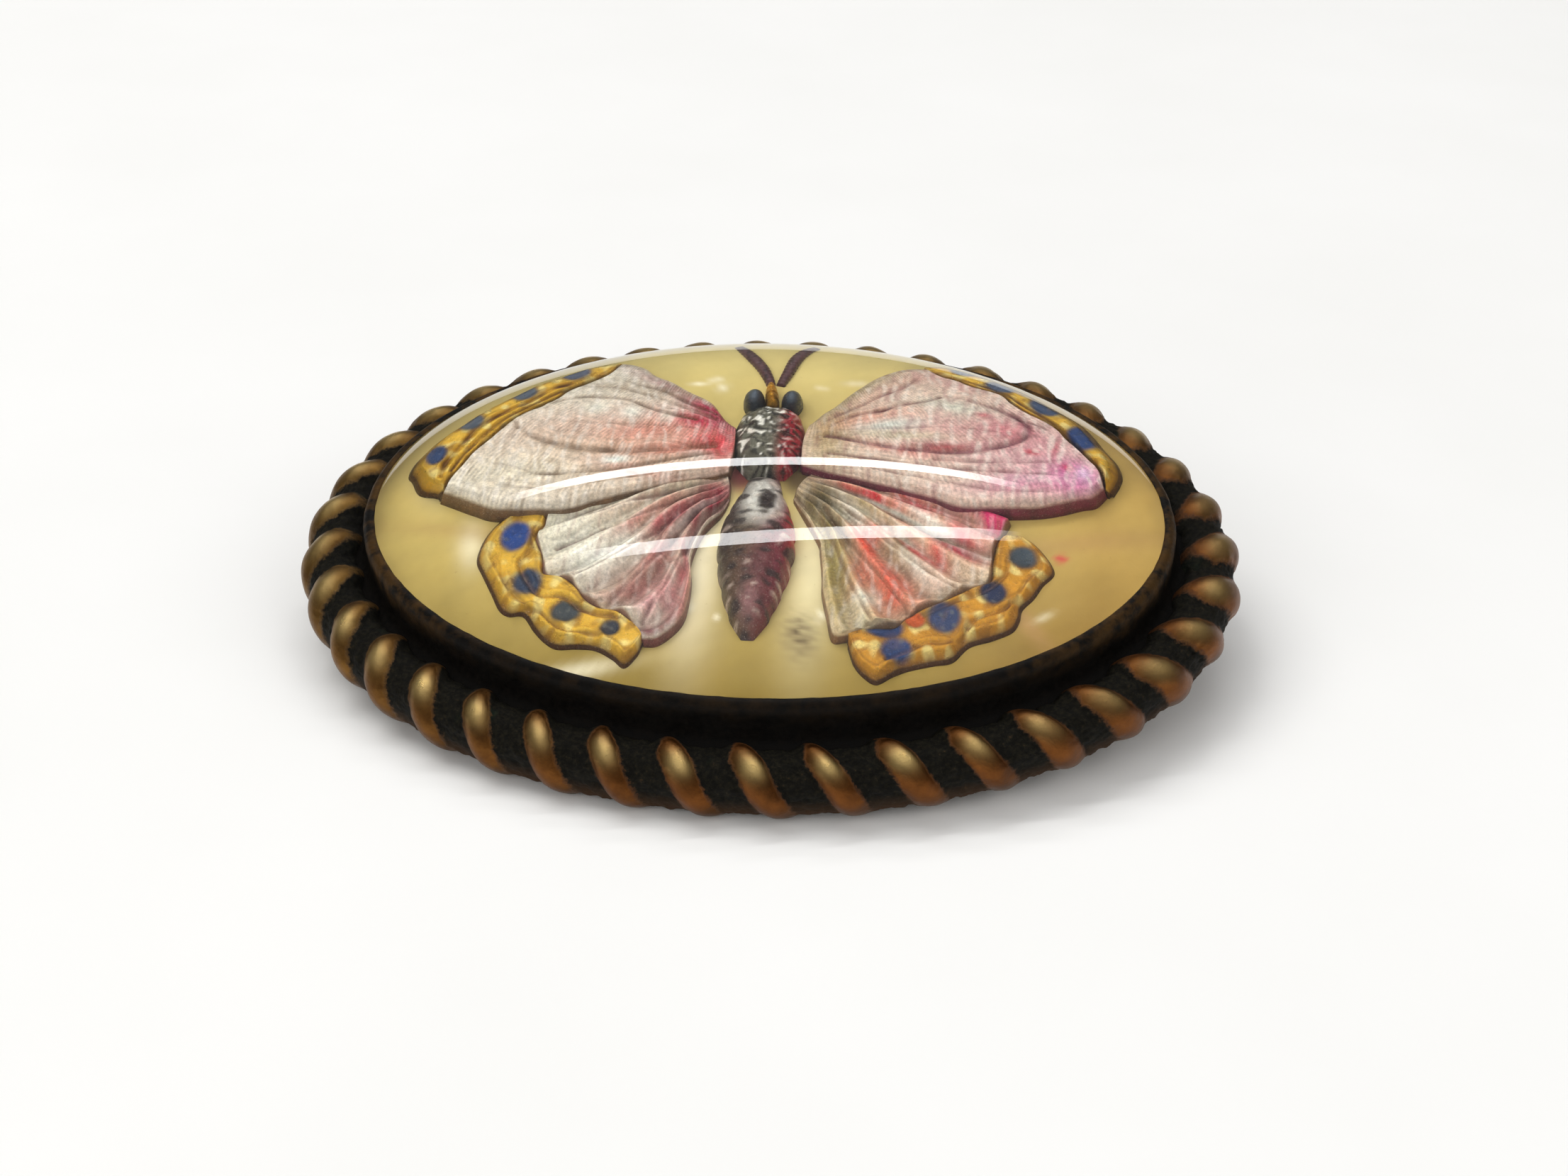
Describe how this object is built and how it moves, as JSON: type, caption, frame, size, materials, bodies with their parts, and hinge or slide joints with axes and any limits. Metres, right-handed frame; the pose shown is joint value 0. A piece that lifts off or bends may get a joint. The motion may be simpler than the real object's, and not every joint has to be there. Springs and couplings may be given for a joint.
{
  "type": "oval butterfly brooch",
  "caption": "Oval brooch: a clear domed cabochon carved and painted from behind with a butterfly, in a bezel and twisted rope border, with a hinged pin and safety catch.",
  "frame": {"origin": "centre of the back plate's flat rear face", "axes": "+X along the butterfly's wingspan to its right as seen from the front, +Y towards the antennae, +Z out of the dome towards the viewer"},
  "size_m": [0.0483, 0.0376, 0.0127],
  "materials": {
    "rope_brass": "aged and darkened in the valleys, worn bright on the ridges",
    "dark_bezel": "blackened antique brass",
    "plate_brass": "tarnished",
    "fitting_brass": "satin",
    "pin_steel": "drawn wire, nickel coloured",
    "clear_glass": "polished",
    "cream_lacquer": "lacquer, warm cream",
    "card": "plain card",
    "wing_paint": "pearl paint shading from silver pink to crimson",
    "border_paint": "gold paint with blue spots",
    "body_paint": "silver grey and crimson pearl paint",
    "dark_paint": "dark purple brown paint"
  },
  "bodies": {
    "brooch": {"back_plate": "plate_brass", "backing_card": "card", "cream_ground": "cream_lacquer", "glass_cabochon": "clear_glass", "bezel_collar": "dark_bezel", "rope_border": "rope_brass", "forewing_left": "wing_paint", "forewing_right": "wing_paint", "hindwing_left": "wing_paint", "hindwing_right": "wing_paint", "forewing_border_left": "border_paint", "forewing_border_right": "border_paint", "hindwing_border_left": "border_paint", "hindwing_border_right": "border_paint", "thorax": "body_paint", "abdomen": "body_paint", "head": "body_paint", "eye_left": "dark_paint", "eye_right": "dark_paint", "antenna_left": "dark_paint", "antenna_right": "dark_paint", "hinge_base": "fitting_brass", "hinge_rivet": "fitting_brass", "catch_body": "fitting_brass"},
    "pin_stem": {"pin_stem": "pin_steel"},
    "catch_sleeve": {"catch_sleeve": "fitting_brass"}
  },
  "joints": [
    {"name": "pin_swing", "type": "hinge", "parent": "brooch", "child": "pin_stem", "pos_m": [-0.015, 0.004, -0.0019], "axis": [0, 1, 0], "range_deg": [0, 100]},
    {"name": "sleeve_turn", "type": "hinge", "parent": "brooch", "child": "catch_sleeve", "pos_m": [0.0155, 0.004, -0.0026], "axis": [1, 0, 0], "range_deg": [0, 110]}
  ]
}
